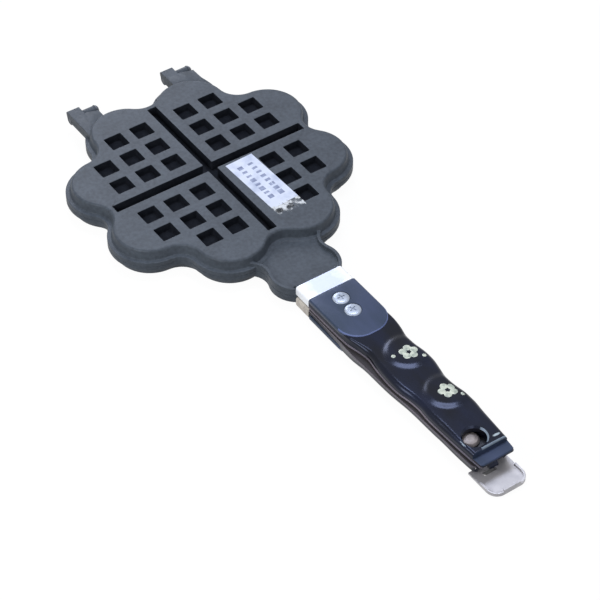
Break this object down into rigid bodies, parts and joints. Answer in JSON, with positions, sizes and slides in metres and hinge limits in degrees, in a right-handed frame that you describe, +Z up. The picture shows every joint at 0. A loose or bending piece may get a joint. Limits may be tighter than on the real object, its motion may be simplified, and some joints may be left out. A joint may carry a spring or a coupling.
{
  "type": "egg waffle pan",
  "caption": "Hinged flower-shaped waffle iron for a hob: cast dishes with peg grids, split grip with a raised panel, and a swinging clip that locks the grips.",
  "frame": {"origin": "centre of the lower dish's underside, on the plane that rests on the burner", "axes": "+Z up, +Y towards the hinge, the grips run along -Y, +X to the right when looking from the grips to the hinge"},
  "size_m": [0.1612, 0.3781, 0.0181],
  "materials": {
    "coated_casting": "dark grey non-stick coating with a fine orange peel, satin",
    "pin_steel": "plain turned steel",
    "collar_metal": "bright satin",
    "grip_plastic": "glossy blue-black moulded heat-proof plastic",
    "screw_steel": "plated, cross slot",
    "latch_steel": "satin stainless sheet",
    "label_sheet": "plain white sheet",
    "label_film": "ragged end of clear film"
  },
  "bodies": {
    "lower_half": {"lower_plate": "coated_casting", "lower_collar": "collar_metal", "lower_handle": "grip_plastic", "lower_front_screw": "screw_steel", "lower_rear_screw": "screw_steel", "hinge_pin_left": "pin_steel", "hinge_pin_right": "pin_steel", "hinge_washer_left": "pin_steel", "hinge_washer_right": "pin_steel", "latch_bracket": "latch_steel", "latch_rivet": "latch_steel", "rivet_washer": "latch_steel", "latch_pin": "latch_steel"},
    "upper_half": {"upper_plate": "coated_casting", "upper_collar": "collar_metal", "upper_handle": "grip_plastic", "upper_front_screw": "screw_steel", "upper_rear_screw": "screw_steel", "plain_label": "label_sheet", "label_film": "label_film"},
    "latch": {"latch_clip": "latch_steel"}
  },
  "joints": [
    {"name": "lid_hinge", "type": "hinge", "parent": "lower_half", "child": "upper_half", "pos_m": [0, 0.0908, 0.0105], "axis": [-1, 0, 0], "range_deg": [0, 180]},
    {"name": "clip_swing", "type": "hinge", "parent": "lower_half", "child": "latch", "pos_m": [0, -0.264, 0.0066], "axis": [-1, 0, 0], "range_deg": [0, 82]}
  ]
}
